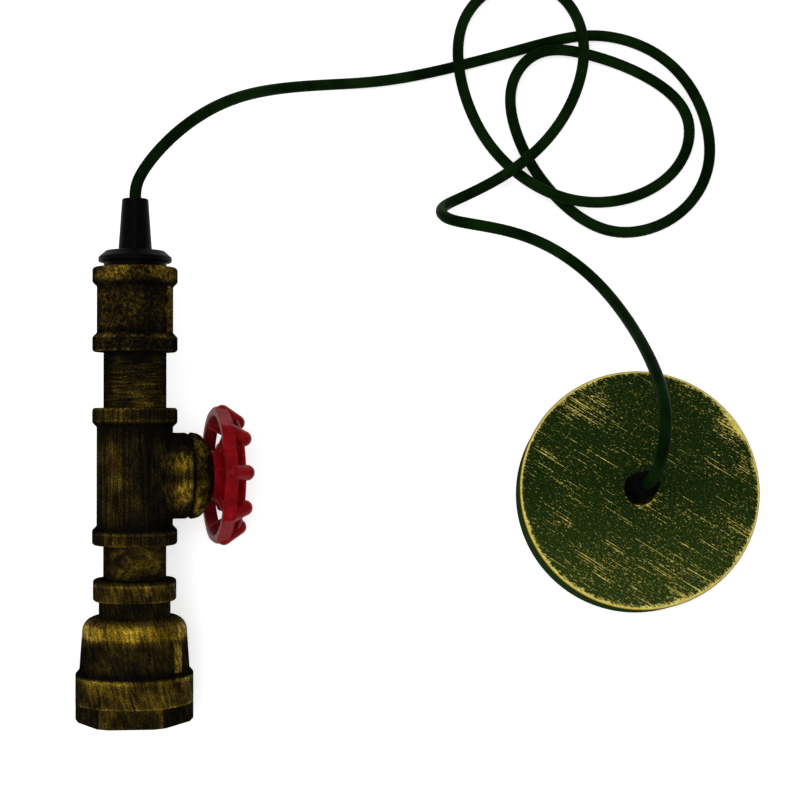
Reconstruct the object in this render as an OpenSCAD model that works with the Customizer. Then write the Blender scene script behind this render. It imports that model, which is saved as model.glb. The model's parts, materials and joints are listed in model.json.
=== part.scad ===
// Pendant light made of threaded pipe fittings: a pipe lamp with a valve handwheel, a round flex and a rose.
// The rose stands on its open back at the origin; the lamp lies beside it on its mouth and its handwheel.
// The lamp's pieces are drawn about the middle of the tee, y along the pipe and x along the branch.

/* [Pipe fittings] */
// Outside diameter of the nipples
nipple_d = 26.9; // [25:0.1:30]
// Wall of the nipples
nipple_wall = 2.6; // [2:0.1:3.2]
// Length of nipple that shows between tee and coupling
upper_gap = 24; // [12:0.5:60]
// Length of nipple that shows between tee and reducer
lower_gap = 14.5; // [6:0.5:60]
// Depth that a nipple screws into a fitting
thread_depth = 14; // [12:0.5:15]
// Radial room between a thread and its socket
thread_gap = 0.15; // [0.05:0.05:0.25]
// Wall of a fitting's barrel round its socket
fitting_wall = 2.7; // [2:0.1:4]
// Height of a collar above its barrel
collar_rise = 1.9; // [1:0.1:3]
// Length of a collar
collar_len = 6.4; // [5:0.2:10]
// Rounding of the cast edges
edge_r = 1.4; // [0.5:0.1:2]
// Length of the coupling
coupling_len = 36.5; // [34:0.5:60]
// Height of the ribs along the coupling
coupling_rib_rise = 0.9; // [0.5:0.1:1.5]
// Place of those ribs round the pipe
coupling_rib_turn = 40; // [20:2.5:75]

/* [Tee] */
// Length of the tee along the pipe
tee_len = 59; // [56:0.5:80]
// Distance from the pipe's axis to the end of the branch
branch_reach = 22.8; // [22:0.2:32]
// Diameter of the bead on the branch's end
bead_d = 37.4; // [36:0.2:42]
// Length of that bead
bead_len = 7; // [5:0.5:9]
// Length over which the branch flares out to the bead
flare_len = 5; // [4:0.5:6]
// Rounding of that flare
flare_r = 6; // [3:0.5:8]
// How much slimmer the branch and the reducer's collar are than the other barrels and collars
cast_less = 0.4; // [0.2:0.1:1.5]

/* [Reducer and mouth] */
// Length of the reducer
reducer_len = 61.4; // [60:0.2:80]
// Length of its top collar
reducer_collar_len = 9.6; // [7:0.2:11]
// Length of the neck under that collar
neck_len = 6.4; // [5:0.2:9]
// How much the neck is turned down below a barrel's radius
neck_less = 1; // [0.4:0.1:1.2]
// Radius of the rounded shoulder
shoulder_r = 6.8; // [4:0.2:8]
// Diameter at the top of the skirt
skirt_top_d = 44.8; // [44:0.2:48]
// Diameter at the foot of the skirt
skirt_foot_d = 47; // [46:0.2:50]
// Diameter of the band round the mouth
band_d = 50.3; // [50:0.1:56]
// Length of that band
band_len = 12.6; // [8:0.2:16]
// Length over which the band slopes into the skirt
band_slope = 1.8; // [1.4:0.1:3]
// Length of the six-sided end
hex_len = 8.4; // [6:0.2:10]
// Distance across the flats of that end
hex_flats = 44.2; // [44:0.2:48]
// Chamfer on its corners
hex_chamfer = 1.2; // [0.8:0.1:2]
// Turn of that end round the pipe
hex_turn = 5; // [0:1:15]
// Bore of the mouth
mouth_d = 41.4; // [41:0.1:42]
// Width of the casting ribs
rib_w = 3.4; // [2:0.1:6]
// Height of the ribs above the skirt
rib_rise = 1.6; // [0.8:0.1:2]
// Place of the ribs round the pipe
rib_turn = 50; // [20:2.5:75]

/* [Valve] */
// Diameter of the spindle
spindle_d = 8; // [6:0.5:9]
// Radial running room of the spindle in its bush
spindle_play = 0.05; // [0.02:0.01:0.09]
// Diameter of the plug's dome where it meets the bead
plug_d = 38; // [36:0.2:40]
// Diameter of the plug's outer face
plug_face_d = 24.6; // [22:0.2:27]
// Length of the dome
plug_len = 8.6; // [8:0.2:14]
// Rounding of the dome
dome_r = 5; // [3:0.5:5]
// Width of the groove between bead and dome
plug_groove = 0.8; // [0.4:0.1:1.2]
// Width of the plug's seat on the bead, inside that groove
plug_seat = 1.6; // [1:0.1:2.5]
// Room between faces that turn past each other
face_gap = 0.3; // [0.2:0.05:0.6]
// Diameter of the handwheel
wheel_d = 62; // [58:0.5:80]
// How far the rim lies in front of the hub's back
rim_ahead = 1.4; // [0.4:0.1:3]
// Number of lobes
lobe_count = 9; // [7:1:11]
// How far the wheel is turned on its spindle
wheel_turn = 4.5; // [0:0.5:20]
// Number of spokes
spoke_count = 5; // [4:1:6]
// Width of a lobe
lobe_w = 6.8; // [6:0.1:7.4]
// How far a lobe leans in towards its front end
lobe_taper = 4.5; // [3:0.1:5.5]
// How far a lobe stands in front of the rim
lobe_front = 3.6; // [1:0.1:4]
// Length of the plain band at the back of the rim
rim_band = 5.6; // [5:0.1:6.6]
// How far the band narrows towards its front
band_taper = 1.4; // [1:0.1:2]
// Length of the windows between the lobes
rim_window = 3.2; // [2:0.1:4]
// Length of the lip in front of the windows
rim_lip = 1.4; // [1.2:0.1:3]
// How far that lip lies inside the wheel's outline
lip_drop = 6; // [5:0.1:7]
// Radial wall of the band
rim_wall = 4.8; // [4.4:0.1:5.4]
// How far the band lies below the lobes
band_sink = 0.4; // [0.2:0.1:0.6]
// Thickness of the web between the hub and the lip
web_t = 2; // [1.6:0.1:3]
// Diameter of the hub
hub_d = 22; // [18:0.5:24]
// Length of the hub
hub_len = 6.5; // [5:0.5:9]
// Diameter of a spoke
spoke_d = 5; // [4:0.1:6]

/* [Small hardware] */
// Across flats of the valve's nuts
valve_nut_flats = 13; // [12:0.5:14]
// Height of the valve's nuts
valve_nut_h = 4; // [3:0.5:4.5]
// Diameter of the wheel's washer
washer_d = 16; // [15:0.5:18]
// Thickness of that washer
washer_t = 1.4; // [1:0.1:2]
// Diameter of the hollow stems and studs
stem_d = 10; // [9.5:0.1:10.5]
// Wall of the hollow stems and studs
stem_wall = 1.4; // [1:0.1:1.6]
// Across flats of the stem nuts
stem_nut_flats = 14; // [13:0.5:15]
// Height of the stem nuts
stem_nut_h = 4; // [3:0.5:5]
// Radial room of a stem in its hole
stem_gap = 0.1; // [0.05:0.05:0.2]

/* [Cap, grips and flex] */
// Diameter of the cap's flange
cap_d = 31.4; // [29:0.2:36]
// Thickness of the flange
cap_t = 5; // [4:0.2:7]
// Thickness of the flange at its edge
cap_edge = 2.2; // [1.6:0.2:3]
// Diameter of the flange's flat top
cap_top_d = 25; // [22:0.2:28]
// Length of the cap's neck that shows above the coupling
cap_neck = 2.2; // [1:0.2:5]
// Length of the neck inside the coupling
cap_depth = 8; // [6:0.5:9]
// Wall of the neck
cap_wall = 2.4; // [2:0.1:3]
// Diameter of a grip at its foot
grip_d = 14.4; // [13:0.2:18]
// Diameter of a grip at its top
grip_top_d = 11.2; // [9:0.2:12]
// Length of a grip outside its seat
grip_len = 22.6; // [16:0.2:30]
// Diameter of the flex
cord_d = 5.2; // [4:0.1:6]
// Room between the flex and a grip's bore
cord_gap = 0.1; // [0.05:0.05:0.2]
// Diameter of a core of the flex
core_d = 1.8; // [1.4:0.1:2]
// How far the cores swing out from the rose's terminal block
core_swing = 8; // [6:0.5:10]
// Length of flex that shows inside the coupling before its cores part
tail_len = 3; // [1:0.5:6]
// Straight run of the flex above the lamp's grip
lamp_run = 9; // [6:1:12]
// Straight run of the flex above the rose's grip
rose_run = 14; // [8:1:18]

/* [Ceiling rose] */
// Outside diameter of the cup
rose_d = 106; // [98:1:130]
// Height of the cup
rose_h = 25; // [24:0.5:40]
// Thickness of the cup
rose_t = 1.4; // [1:0.1:2]
// Rounding of the cup's face edge
rose_edge = 2; // [1.6:0.1:3]
// Height of the side screws above the ceiling
side_screw_z = 11; // [9:0.5:12]
// Diameter of the side screws
side_screw_d = 4; // [3:0.5:4]
// How far their slotted ends lie below the cup's side
side_screw_sink = 0.3; // [0.2:0.1:0.6]
// Width of the bracket
bracket_w = 20; // [18:1:22]
// Thickness of the bracket
bracket_t = 2; // [1.5:0.1:2.5]
// Room between the bracket's tabs and the cup
tab_gap = 0.25; // [0.15:0.05:0.5]
// Height of the tabs
tab_h = 16; // [15:0.5:20]
// Distance between the ceiling screw slots
slot_spacing = 66; // [62:1:70]
// Length of a slot
slot_len = 12; // [8:0.5:14]
// Width of a slot
slot_w = 5; // [4:0.5:6]

/* [Terminals] */
// Length of the terminal block
block_l = 20; // [18:0.5:22]
// Width of the terminal block
block_w = 16; // [15:0.5:18]
// Height of the terminal block
block_h = 12; // [11:0.5:13]
// Distance between its two ways
way_pitch = 10; // [9:0.5:11]
// Outside diameter of a brass insert
insert_d = 6; // [5.5:0.1:6.5]
// Bore of an insert
insert_bore = 3.5; // [3:0.1:3.8]
// Wall left between an insert's two ends
insert_web = 2; // [1:0.5:4]
// Diameter of a terminal screw
terminal_screw_d = 3; // [2.5:0.1:3.2]
// Room round the metal pieces set in insulation
set_gap = 0.1; // [0.05:0.05:0.2]
// Place of the earth screw along the bracket
earth_x = -18; // [-20:0.5:-17]
// Height of the earth screw's head
earth_head_h = 2; // [1.5:0.1:3]

/* [Lampholder] */
// Diameter of the lampholder
holder_d = 39; // [36:0.5:40]
// Thickness of the plate that carries it
plate_t = 2; // [1.5:0.1:3]
// Room between that plate and the mouth's bore
plate_gap = 0.25; // [0.15:0.05:0.5]
// Thickness of the holder's base
base_t = 9; // [8:0.5:12]
// Depth of the stud in the base
stud_depth = 4; // [3:0.5:4.5]
// How far the holder's rim lies inside the mouth
holder_set_back = 2; // [1:0.5:4]
// Inside diameter of the screw shell
shell_d = 26.6; // [26.5:0.05:27]
// Thickness of the screw shell
shell_t = 0.5; // [0.4:0.1:0.8]
// How far the screw shell lies inside the sleeve's rim
shell_in = 1; // [0.5:0.5:3]
// Diameter of the centre contact
contact_d = 6; // [4:0.5:8]
// How far the centre contact stands out of the base
contact_rise = 3; // [2:0.5:4]
// Depth of the centre contact's guide in the base
contact_guide = 3.4; // [3.2:0.1:4]
// Travel of the centre contact
contact_travel = 1.5; // [0.5:0.1:2]
// Radial running room of the centre contact
contact_play = 0.05; // [0.02:0.01:0.09]
// Diameter of the base's screw heads
base_head_d = 4.4; // [3.6:0.2:5]
// Height of those heads
base_head_h = 1.4; // [1:0.1:2]
// Diameter of those screws
base_screw_d = 3; // [2.5:0.1:3.2]
// Length of those screws in the base
base_screw_len = 5; // [3:0.5:6]

/* [Lay of the lamp] */
// Distance across from the middle of the rose to the tee
lamp_apart = 220; // [200:1:240]
// Place of the tee along the pipe's run
tee_y = 4; // [-5:1:10]
// Roll of the branch below the level
pipe_roll = 17; // [10:0.5:20]

/* [Hidden] */
$fn = 96;
// Overlap that joins or cuts cleanly, and how far a screw's end stands past its nut
bite = 0.5;
// Small rounding of turned and moulded corners
soft_r = 0.8;
// Steps of a rounded corner in an outline
arc_steps = 5;
// Length that a stem stands past its nut
stem_past = 1;

// Radii that several fittings share
nipple_r = nipple_d / 2;
nipple_bore = nipple_r - nipple_wall;
socket_r = nipple_r + thread_gap;
barrel_r = socket_r + fitting_wall;
collar_r = barrel_r + collar_rise;
branch_r = barrel_r - cast_less;
// A stop ring inside a socket covers most of the nipple's wall
stop_r = nipple_bore + nipple_wall / 4;

// Places along the pipe, from the middle of the tee
tee_end = tee_len / 2;
coupling_y = tee_end + upper_gap;
cap_seat = coupling_y + coupling_len;
flange_y = cap_seat + cap_neck;
cap_top = flange_y + cap_t;
grip_top = cap_top + grip_len;
tail_y = flange_y - stem_nut_h - tail_len;
reducer_y = -tee_end - lower_gap;
mouth_y = reducer_y - reducer_len;
hex_y = mouth_y + hex_len;
band_y = hex_y + band_len;
neck_y = reducer_y - reducer_collar_len;
neck_r = barrel_r - neck_less;
shoulder_y = neck_y - neck_len;
// The seat for the lampholder's plate lies a wall's thickness below the shoulder
plate_seat = shoulder_y - shoulder_r - fitting_wall;
base_y = plate_seat - plate_t;
holder_y = base_y - base_t;
holder_end = mouth_y + holder_set_back;
shell_y = holder_end + shell_in;
contact_y = holder_y - contact_rise;
contact_len = contact_rise + contact_guide - contact_travel - face_gap;

// Places along the branch, from the pipe's axis
bush_r = spindle_d / 2 + spindle_play;
plug_inner = branch_reach - thread_depth + 2 * edge_r;
dome_x = branch_reach + plug_groove;
plug_face = dome_x + plug_len;
hub_x = plug_face + face_gap;
rim_x = hub_x + rim_ahead;
rim_front = rim_x + rim_band + rim_window + rim_lip;
lobe_end = rim_front + lobe_front;
wheel_r = wheel_d / 2;
// Ends of a lobe's middle line, along the branch and out from it
lobe_in = [rim_x + lobe_w / 2 + face_gap, wheel_r - lobe_w / 2];
lobe_out = [lobe_end - lobe_w / 2, lobe_in[1] - lobe_taper];
washer_x = hub_x + hub_len;
wheel_nut_x = washer_x + washer_t;
lock_nut_x = plug_inner - face_gap - valve_nut_h;
spindle_in = lock_nut_x - bite;
spindle_out = wheel_nut_x + valve_nut_h + bite;

// The lamp lies on the lobes of the wheel and on its mouth, and slopes as far as they make it
hex_reach = band_d / 2 * cos(acos(hex_flats / band_d) - hex_turn);
function lobe_turn(i) = 360 * i / lobe_count - wheel_turn;
function wheel_drop(slope) =
    let (lean = sin(pipe_roll) * cos(slope))
    let (on_band = lean * rim_x + sqrt(1 - lean * lean) * (wheel_r - band_sink))
    let (on_lobes = [for (end = [lobe_in, lobe_out], i = [0 : lobe_count - 1]) lean * end[0] + lobe_w / 2
        + end[1] * (sin(lobe_turn(i)) * sin(slope) - cos(lobe_turn(i)) * cos(pipe_roll) * cos(slope))])
    max(on_band, max(on_lobes));
function rest_slope(along, radius, drop) = asin(drop / norm([along, radius])) - atan2(radius, along);
function settled(slope, steps) =
    let (drop = wheel_drop(slope), on_band = rest_slope(-hex_y, band_d / 2, drop))
    let (on_hex = rest_slope(-mouth_y - hex_chamfer, hex_reach, drop))
    steps == 0 ? slope : settled(min(on_band, on_hex), steps - 1);
pipe_slope = settled(10, 8);
tee_z = wheel_drop(pipe_slope);
tee_x = -lamp_apart;

// Heights in the rose
rose_r = rose_d / 2;
rose_top = rose_h - rose_t;
tab_x = sqrt(pow(rose_r - rose_t, 2) - pow(bracket_w / 2, 2)) - tab_gap;
side_screw_in = tab_x - 2 * bracket_t;
side_screw_len = rose_r - side_screw_sink - side_screw_in;
rose_grip_top = rose_h + grip_len;
rose_tail_z = rose_top - stem_nut_h - tail_len / 2;
block_top = bracket_t + block_h;
way_z = bracket_t + block_h / 2 - bite;
stem_bore = stem_d / 2 - stem_wall;
grip_bore = cord_d / 2 + cord_gap;
core_spread = core_d / 2 / cos(30) + set_gap;
// Places of the rose's cores: how far they swing out, and their height at the block and at the earth screw
core_drop = core_d;
core_turn = 360 / 3;
core_out = block_w / 2 + core_swing;
core_end = insert_web / 2 + bite;
earth_z = bracket_t + core_d / 2 + set_gap;
// Ends of a spoke, along the branch and out from it
spoke_in = [hub_x + hub_len - spoke_d / 2, hub_d / 2 - spoke_d / 2];
spoke_out = [rim_front - spoke_d / 2, wheel_r - lip_drop - spoke_d / 2];
web_in = hub_d / 2 - edge_r;
web_x = hub_x + hub_len - edge_r;
holder_bore = shell_d / 2 + shell_t + set_gap;

// The flex's route: out of the lamp's grip, over its own loops on the floor, and into the rose's grip
flex_r = cord_d / 2;
pipe_way = [0, cos(pipe_slope), sin(pipe_slope)];
flex_start = [tee_x, tee_y, tee_z] + grip_top * pipe_way;
flex_route = concat(
    [flex_start, flex_start + lamp_run * pipe_way, flex_start + [15, 28, 2.5], flex_start + [34, 46.5, -8.5]],
    [[-166, 183, 28], [-138, 193, 6], [-105, 195.5, 2.6],
     [-44, 212.5, 2.6], [-14, 221.5, 2.6], [18, 211.5, 2.6], [37, 187, 2.6], [42.5, 154, 2.6], [25, 127, 2.6],
     [-8, 118, 2.6], [-34, 138, 2.6], [-50, 163, 2.6], [-57, 193, 2.6], [-42, 211.5, 8], [-17, 210, 2.6],
     [12, 199, 2.6], [34, 180, 2.6], [27, 151, 2.6], [-1, 135, 2.6], [-37, 134, 13],
     [-69, 165, 2.6], [-82, 206, 12], [-73, 235.5, 4], [-48, 250.5, 2.6], [-24, 237, 4], [-16.5, 207, 12],
     [-27, 175.5, 8], [-50, 148.5, 18], [-76.5, 138, 6], [-88.5, 130.5, 16], [-86, 120, 32], [-68, 116, 38],
     [-42, 115, 20], [-14, 100, 5], [1, 60, 48], [4, 25, 90], [0, 2, 82]],
    [[0, 0, rose_grip_top + rose_run], [0, 0, rose_grip_top]]);
flex_rings = 80;
flex_sides = 10;
core_rings = 16;
core_sides = 8;
// Points at which the flex's length and the room between its strands are worked out
gap_points = 420;
gap_apart = 12;

// Unit vector along v
function unit(v) = v / norm(v);
// A corner of an outline, [x, y, fillet], as its fillet's points
function fillet(a, p, b) =
    p[2] == 0 ? [[p[0], p[1]]] :
    let (c = [p[0], p[1]], u = unit([a[0], a[1]] - c), v = unit([b[0], b[1]] - c))
    let (half = acos(u * v) / 2, middle = c + unit(u + v) * p[2] / sin(half))
    let (from = c + u * p[2] / tan(half) - middle, to = c + v * p[2] / tan(half) - middle)
    let (start = atan2(from[1], from[0]), turn = atan2(to[1], to[0]) - start)
    let (sweep = turn > 180 ? turn - 360 : turn < -180 ? turn + 360 : turn)
    [for (k = [0 : arc_steps])
        let (at = start + sweep * k / arc_steps) middle + p[2] * [cos(at), sin(at)]];
function rounded(points) =
    let (n = len(points))
    [for (i = [0 : n - 1]) each fillet(points[(i + n - 1) % n], points[i], points[(i + 1) % n])];

// A point of the smooth curve that a route's points steer, at u from 0 to the last point's number
function steered(route, u) =
    let (last = len(route) - 1, i = min(floor(u), last - 1), t = u - i)
    let (a = i == 0 ? 2 * route[0] - route[1] : route[i - 1], b = route[i], c = route[i + 1])
    let (d = i + 2 > last ? 2 * route[last] - route[last - 1] : route[i + 2])
    (pow(1 - t, 3) * a + (3 * pow(t, 3) - 6 * t * t + 4) * b
        + (-3 * pow(t, 3) + 3 * t * t + 3 * t + 1) * c + pow(t, 3) * d) / 6;
function curve_points(route, count) =
    [for (k = [0 : count - 1]) steered(route, k * (len(route) - 1) / (count - 1))];
function path_length(points) = len(points) < 2 ? 0 :
    [for (i = 1, s = norm(points[1] - points[0]); i < len(points);
        i = i + 1, s = i < len(points) ? s + norm(points[i] - points[i - 1]) : s) s][len(points) - 2];
// Least room between strands of one curve that are more than a few diameters apart along it
function least_gap(points, d, apart) =
    min([for (i = [0 : len(points) - 1 - apart]) min([for (j = [i + apart : len(points) - 1])
        norm(points[i] - points[j])])]) - d;

// A round tube along a route, as one closed skin
module tube(route, r, rings, sides) {
    p = curve_points(route, rings);
    last = len(route) - 1;
    ways = [for (i = [0 : rings - 1])
        i == 0 ? unit(route[1] - route[0]) :
        i == rings - 1 ? unit(route[last] - route[last - 1]) : unit(p[i + 1] - p[i - 1])];
    first = unit(cross(ways[0], abs(ways[0][0]) < 0.9 ? [1, 0, 0] : [0, 1, 0]));
    across = [for (i = 0, n = first; i < rings;
        i = i + 1, n = i < rings ? unit(n - (n * ways[i]) * ways[i]) : n) n];
    skin = [for (i = [0 : rings - 1]) for (k = [0 : sides - 1])
        p[i] + r * (cos(360 * k / sides) * across[i] + sin(360 * k / sides) * cross(ways[i], across[i]))];
    walls = [for (i = [0 : rings - 2]) for (k = [0 : sides - 1])
        let (a = i * sides + k, b = i * sides + (k + 1) % sides)
        each [[a, a + sides, b], [b, a + sides, b + sides]]];
    start = [for (k = [1 : sides - 2]) [0, k, k + 1]];
    top = (rings - 1) * sides;
    end = [for (k = [1 : sides - 2]) [top, top + k + 1, top + k]];
    polyhedron(skin, concat(walls, start, end));
}

// Puts the lamp where it lies
module lamp_lay() translate([tee_x, tee_y, tee_z])
    rotate([pipe_slope, 0, 0]) rotate([0, pipe_roll, 0]) children();
// Stands pieces drawn upwards along the pipe, at y, or along the branch, at x
module along_pipe(y = 0) translate([0, y, 0]) rotate([-90, 0, 0]) children();
module along_branch(x = 0) translate([x, 0, 0]) rotate([0, 90, 0]) children();
// A turned piece from its outline of [radius, height, fillet]
module turned(outline) rotate_extrude() polygon(rounded(outline));
// A six-sided nut with a hole
module nut(flats, h, hole_r) difference() {
    cylinder(r = flats / sqrt(3), h = h, $fn = 6);
    translate([0, 0, -bite]) cylinder(r = hole_r, h = h + 2 * bite);
}
// The cut for a driver across a head of diameter d and height h
module driver_slot(d, h) translate([-d, -d / 14, h - d / 8]) cube([2 * d, d / 7, d]);
// A straight hollow tube
module pipe(r, bore, h) turned([[bore, 0, 0], [r, 0, 0], [r, h, 0], [bore, h, 0]]);
// A grip with its stem, drawn upwards from the face it stands on
module cord_grip(stem_len) turned([[grip_bore, -stem_len, 0], [stem_d / 2, -stem_len, 0], [stem_d / 2, 0, 0],
    [grip_d / 2, 0, bite], [grip_top_d / 2, grip_len, soft_r], [grip_bore, grip_len, 0]]);

// Ceiling rose
module rose_cup() color("darkolivegreen") difference() {
    turned([[0, rose_top, 0], [rose_r - rose_t, rose_top, rose_edge - rose_t], [rose_r - rose_t, 0, 0],
        [rose_r, 0, 0], [rose_r, rose_h, rose_edge], [0, rose_h, 0]]);
    translate([0, 0, rose_top - bite]) cylinder(r = stem_d / 2 + stem_gap, h = rose_t + 2 * bite);
    for (side = [-1, 1])
        translate([side * rose_r, 0, side_screw_z]) rotate([0, 90, 0])
            cylinder(r = side_screw_d / 2 + stem_gap, h = 4 * rose_t, center = true);
}

module ceiling_bracket() color("silver") difference() {
    union() {
        translate([-tab_x, -bracket_w / 2, 0]) cube([2 * tab_x, bracket_w, bracket_t]);
        for (side = [-1, 1])
            translate([side * (tab_x - bracket_t / 2) - bracket_t / 2, -bracket_w / 2, 0])
                cube([bracket_t, bracket_w, tab_h]);
    }
    for (side = [-1, 1]) {
        translate([side * slot_spacing / 2, 0, -bite]) slot(slot_len, slot_w, bracket_t + 2 * bite);
        translate([side * tab_x, 0, side_screw_z]) rotate([0, 90, 0])
            cylinder(r = side_screw_d / 2 + stem_gap, h = 4 * bracket_t, center = true);
    }
    translate([earth_x, 0, -bite]) cylinder(r = terminal_screw_d / 2 + set_gap, h = bracket_t + 2 * bite);
}

module slot(l, w, h) {
    translate([-(l - w) / 2, -w / 2, 0]) cube([l - w, w, h]);
    for (side = [-1, 1]) translate([side * (l - w) / 2, 0, 0]) cylinder(r = w / 2, h = h);
}

module side_screws() color("dimgray")
    for (turn = [0, 180])
        rotate([0, 0, turn]) translate([side_screw_in, 0, side_screw_z]) rotate([0, 90, 0]) difference() {
            cylinder(r = side_screw_d / 2, h = side_screw_len);
            driver_slot(side_screw_d, side_screw_len);
        }

module rose_cord_grip() color("black") translate([0, 0, rose_h]) cord_grip(rose_t + stem_nut_h + stem_past);
module rose_grip_nut() color("black")
    translate([0, 0, rose_top - stem_nut_h]) nut(stem_nut_flats, stem_nut_h, stem_d / 2 + stem_gap);

// One way of the terminal block at each end of its pitch
module ways() for (side = [-1, 1]) translate([side * way_pitch / 2, 0, way_z]) children();

module terminal_block() color("white") difference() {
    translate([-block_l / 2, -block_w / 2, bracket_t]) cube([block_l, block_w, block_h]);
    ways() rotate([90, 0, 0]) cylinder(r = insert_d / 2 + set_gap, h = block_w + 2 * bite, center = true);
    screw_places() cylinder(r = terminal_screw_d / 2 + set_gap, h = block_h);
}

// Each way has a screw above each end of its insert
module screw_places() ways() for (end = [-1, 1]) translate([0, end * block_w / 4, 0]) children();

module terminal_inserts() color("goldenrod") difference() {
    ways() rotate([90, 0, 0]) cylinder(r = insert_d / 2, h = block_w, center = true);
    ways() for (turn = [0, 180]) rotate([0, 0, turn]) translate([0, insert_web / 2, 0]) rotate([-90, 0, 0])
        cylinder(r = insert_bore / 2, h = block_w);
    screw_places() cylinder(r = terminal_screw_d / 2 + set_gap, h = block_h);
}

module terminal_screws() color("goldenrod") screw_places() difference() {
    translate([0, 0, insert_bore / 2 + set_gap])
        cylinder(r = terminal_screw_d / 2, h = block_top - way_z - insert_bore / 2 - set_gap);
    driver_slot(terminal_screw_d, block_top - way_z);
}

module earth_screw() color("goldenrod") translate([earth_x, 0, bracket_t]) {
    translate([0, 0, -bracket_t]) cylinder(r = terminal_screw_d / 2, h = bracket_t + bite);
    difference() {
        turned([[0, 0, 0], [terminal_screw_d, 0, 0], [terminal_screw_d, earth_head_h, soft_r],
            [0, earth_head_h, 0]]);
        driver_slot(2 * terminal_screw_d, earth_head_h);
    }
}

module rose_cord_tail() color("darkgreen")
    translate([0, 0, rose_tail_z]) cylinder(r = flex_r, h = rose_grip_top - rose_tail_z);

// A core of the flex in the rose: down out of the tail, out to y and back into its terminal
module rose_core(x, y, end) tube([
    [x / 4, core_spread, rose_tail_z], [x / 4, core_spread, rose_tail_z - core_drop / 2],
    [x / 2, y / 2, rose_tail_z - core_drop], [x, y, (rose_tail_z + end[2]) / 2], [x, y * 0.8, end[2]],
    [x, (y + end[1]) / 2, end[2]], end], core_d / 2, core_rings, core_sides);

module rose_live_core() color("sienna")
    rose_core(way_pitch / 2, core_out, [way_pitch / 2, core_end, way_z]);
module rose_neutral_core() color("steelblue")
    rose_core(-way_pitch / 2, core_out, [-way_pitch / 2, core_end, way_z]);
module rose_earth_core() color("yellowgreen") tube([
    [0, -core_spread, rose_tail_z], [0, -core_spread, rose_tail_z - core_drop / 2],
    [earth_x / 4, -block_w / 2 - core_d / 2, rose_tail_z - core_drop],
    [earth_x * 2 / 3, -block_w / 2 - core_d, block_top - core_drop],
    [earth_x, -block_w / 2 - core_d / 2, earth_z + 2 * core_drop],
    [earth_x, -block_w / 2 + core_d, earth_z], [earth_x, -terminal_screw_d - set_gap, earth_z]],
    core_d / 2, core_rings, core_sides);

// The free flex
module cord() color("darkgreen") {
    fine = curve_points(flex_route, gap_points);
    echo(flex_length = path_length(fine), least_gap = least_gap(fine, cord_d, gap_apart));
    tube(flex_route, flex_r, flex_rings, flex_sides);
}

// Lamp: cap and grip
module pipe_cord_grip() color("black") lamp_lay() along_pipe(cap_top)
    cord_grip(cap_t + stem_nut_h + stem_past);
module pipe_grip_nut() color("black") lamp_lay() along_pipe(flange_y - stem_nut_h)
    nut(stem_nut_flats, stem_nut_h, stem_d / 2 + stem_gap);
module top_cap() color("black") lamp_lay() along_pipe() turned([
    [stem_d / 2 + stem_gap, flange_y, 0], [nipple_r - cap_wall, flange_y, 0],
    [nipple_r - cap_wall, cap_seat - cap_depth, 0], [nipple_r, cap_seat - cap_depth, 0],
    [nipple_r, flange_y, 0],
    [cap_d / 2, flange_y, soft_r], [cap_d / 2, flange_y + cap_edge, soft_r],
    [cap_top_d / 2, cap_top, soft_r], [stem_d / 2 + stem_gap, cap_top, 0]]);
module pipe_cord_tail() color("darkgreen") lamp_lay() along_pipe(tail_y)
    cylinder(r = flex_r, h = grip_top - tail_y);

// Lamp: fittings
// A casting rib stands on a barrel from y for a length, out to a radius
module rib(y, length, inside, outside) translate([inside, y, -rib_w / 2])
    cube([outside - inside, length, rib_w]);
module coupling() color("peru") lamp_lay() {
    along_pipe(coupling_y) turned([
        [socket_r, 0, 0], [collar_r, 0, edge_r], [collar_r, collar_len, edge_r],
        [barrel_r, collar_len + collar_rise, soft_r],
        [barrel_r, coupling_len - collar_len - collar_rise, soft_r],
        [collar_r, coupling_len - collar_len, edge_r], [collar_r, coupling_len, edge_r],
        [socket_r, coupling_len, 0]]);
    for (turn = [0, 180]) rotate([0, turn - coupling_rib_turn, 0])
        rib(coupling_y + collar_len, coupling_len - 2 * collar_len, socket_r + bite,
            barrel_r + coupling_rib_rise);
}
module upper_nipple() color("saddlebrown") lamp_lay() along_pipe(tee_end - thread_depth)
    pipe(nipple_r, nipple_bore, upper_gap + 2 * thread_depth);
module lower_nipple() color("saddlebrown") lamp_lay() along_pipe(reducer_y - thread_depth)
    pipe(nipple_r, nipple_bore, lower_gap + 2 * thread_depth);

module tee() color("peru") lamp_lay() difference() {
    union() {
        along_pipe(-tee_end) turned([[0, 0, 0], [collar_r, 0, edge_r], [collar_r, collar_len, edge_r],
            [barrel_r, collar_len + collar_rise, soft_r],
            [barrel_r, tee_len - collar_len - collar_rise, soft_r],
            [collar_r, tee_len - collar_len, edge_r], [collar_r, tee_len, edge_r], [0, tee_len, 0]]);
        along_branch() turned([[0, 0, 0], [branch_r, 0, 0],
            [branch_r, branch_reach - bead_len - flare_len, flare_r],
            [bead_d / 2, branch_reach - bead_len, edge_r], [bead_d / 2, branch_reach, edge_r],
            [0, branch_reach, 0]]);
    }
    along_pipe(-tee_end - bite) cylinder(r = stop_r, h = tee_len + 2 * bite);
    for (turn = [0, 180]) rotate([0, 0, turn]) along_pipe(tee_end - thread_depth)
        cylinder(r = socket_r, h = thread_depth + bite);
    along_branch(spindle_in - bite) cylinder(r = socket_r, h = branch_reach);
}

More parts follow.
